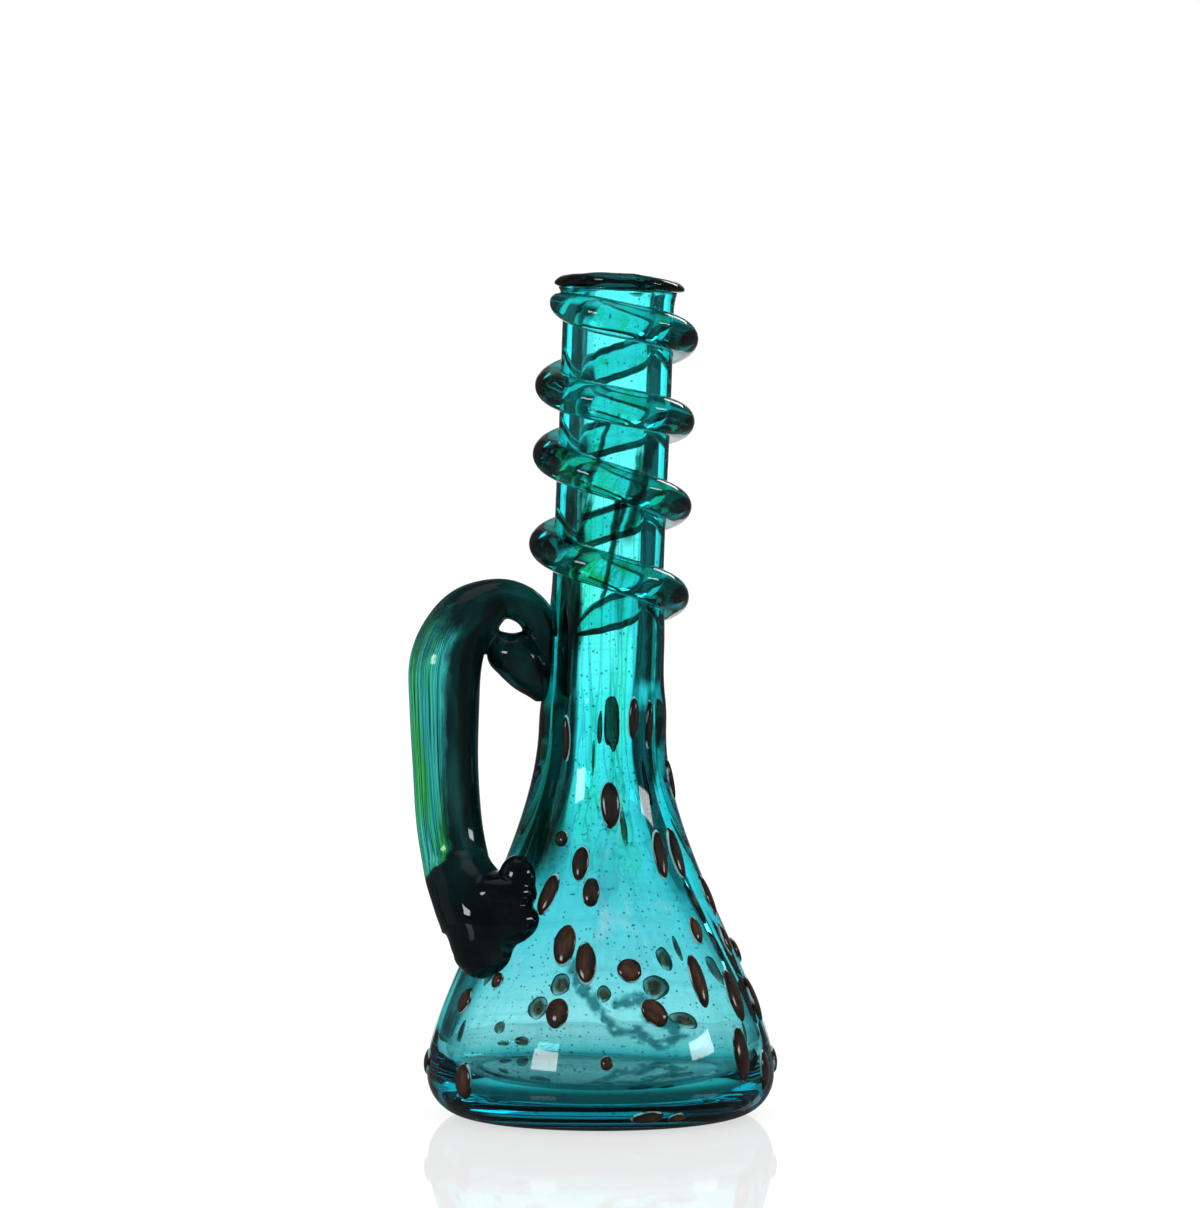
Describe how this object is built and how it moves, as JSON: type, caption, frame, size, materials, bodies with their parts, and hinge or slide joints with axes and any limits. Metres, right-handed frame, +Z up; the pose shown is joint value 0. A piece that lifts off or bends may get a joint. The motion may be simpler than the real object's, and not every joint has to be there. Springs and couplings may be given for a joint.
{
  "type": "handled glass bottle",
  "caption": "Hand-blown glass bottle with a wide body, a long leaning neck wound with a glass trail, a looped handle and fused glass chips.",
  "frame": {"origin": "middle of the flat ring that the bottle stands on, on the axis of its body", "axes": "+Z up along the body's axis; the handle stands out towards -X, and -Y is the side the handle's foot leans to"},
  "size_m": [0.1094, 0.1035, 0.2509],
  "materials": {
    "turquoise_glass": "clear polished glass, turquoise",
    "dark_teal_glass": "fire polished dark teal glass",
    "teal_trail_glass": "clear polished teal glass with green streaks",
    "handle_glass": "clear polished thick teal glass",
    "brown_chip_glass": "glossy dark brown glass"
  },
  "bodies": {
    "root": {"vessel": "turquoise_glass", "lip_wrap": "dark_teal_glass", "neck_trail": "teal_trail_glass", "handle": "handle_glass", "neck_chips": "brown_chip_glass", "shoulder_chips_front": "brown_chip_glass", "shoulder_chips_back": "brown_chip_glass", "belly_chips_front": "brown_chip_glass", "belly_chips_back": "brown_chip_glass", "lower_chips_front": "brown_chip_glass", "lower_chips_back": "brown_chip_glass", "base_chips": "brown_chip_glass"}
  },
  "joints": []
}
